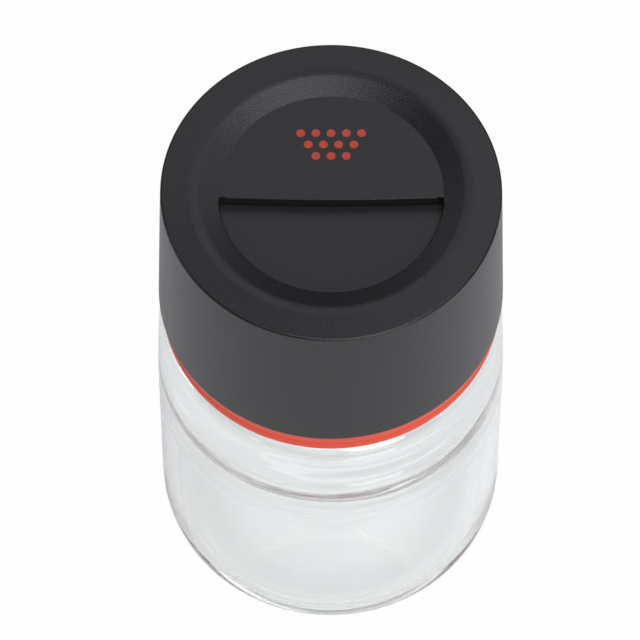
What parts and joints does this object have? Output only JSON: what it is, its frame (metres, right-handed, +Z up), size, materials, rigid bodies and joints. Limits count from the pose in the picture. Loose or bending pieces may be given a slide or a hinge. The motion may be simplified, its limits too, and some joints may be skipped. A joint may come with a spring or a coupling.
{
  "type": "spice jar",
  "caption": "Round clear-glass spice jar with a red seal ring and a black screw lid whose dished top turns to bring a half-moon window over a sifter.",
  "frame": {"origin": "middle of the circle that the glass base stands on", "axes": "+Z up along the jar's axis; -Y is the front, where the closed lid's half-moon window faces"},
  "size_m": [0.0615, 0.0614, 0.1087],
  "materials": {
    "clear_glass": "polished clear",
    "red_silicone": "satin moulded",
    "black_plastic": "fine spark-eroded texture",
    "inner_plastic": "fine matt",
    "pale_silicone": "soft translucent"
  },
  "bodies": {
    "jar": {"glass_jar": "clear_glass"},
    "seal": {"sealing_ring": "red_silicone"},
    "collar": {"screw_collar": "inner_plastic", "mouth_gasket": "pale_silicone", "sifter_insert": "inner_plastic"},
    "cap": {"twist_cap": "black_plastic", "shutter_pad": "pale_silicone"}
  },
  "joints": [
    {"name": "lid_rise", "type": "slide", "parent": "jar", "child": "seal", "axis": [0, 0, 1], "range_m": [0, 0.0301]},
    {"name": "lid_unscrew", "type": "hinge", "parent": "seal", "child": "collar", "pos_m": [0, 0, 0.0745], "axis": [0, 0, 1], "range_deg": [0, 1080]},
    {"name": "cap_twist", "type": "hinge", "parent": "collar", "child": "cap", "pos_m": [0, 0, 0.1087], "axis": [0, 0, 1], "range_deg": [0, 180]}
  ],
  "couplings": [
    {"joint": "lid_rise", "follows": "lid_unscrew", "m_per_rad": 0.0015915}
  ]
}
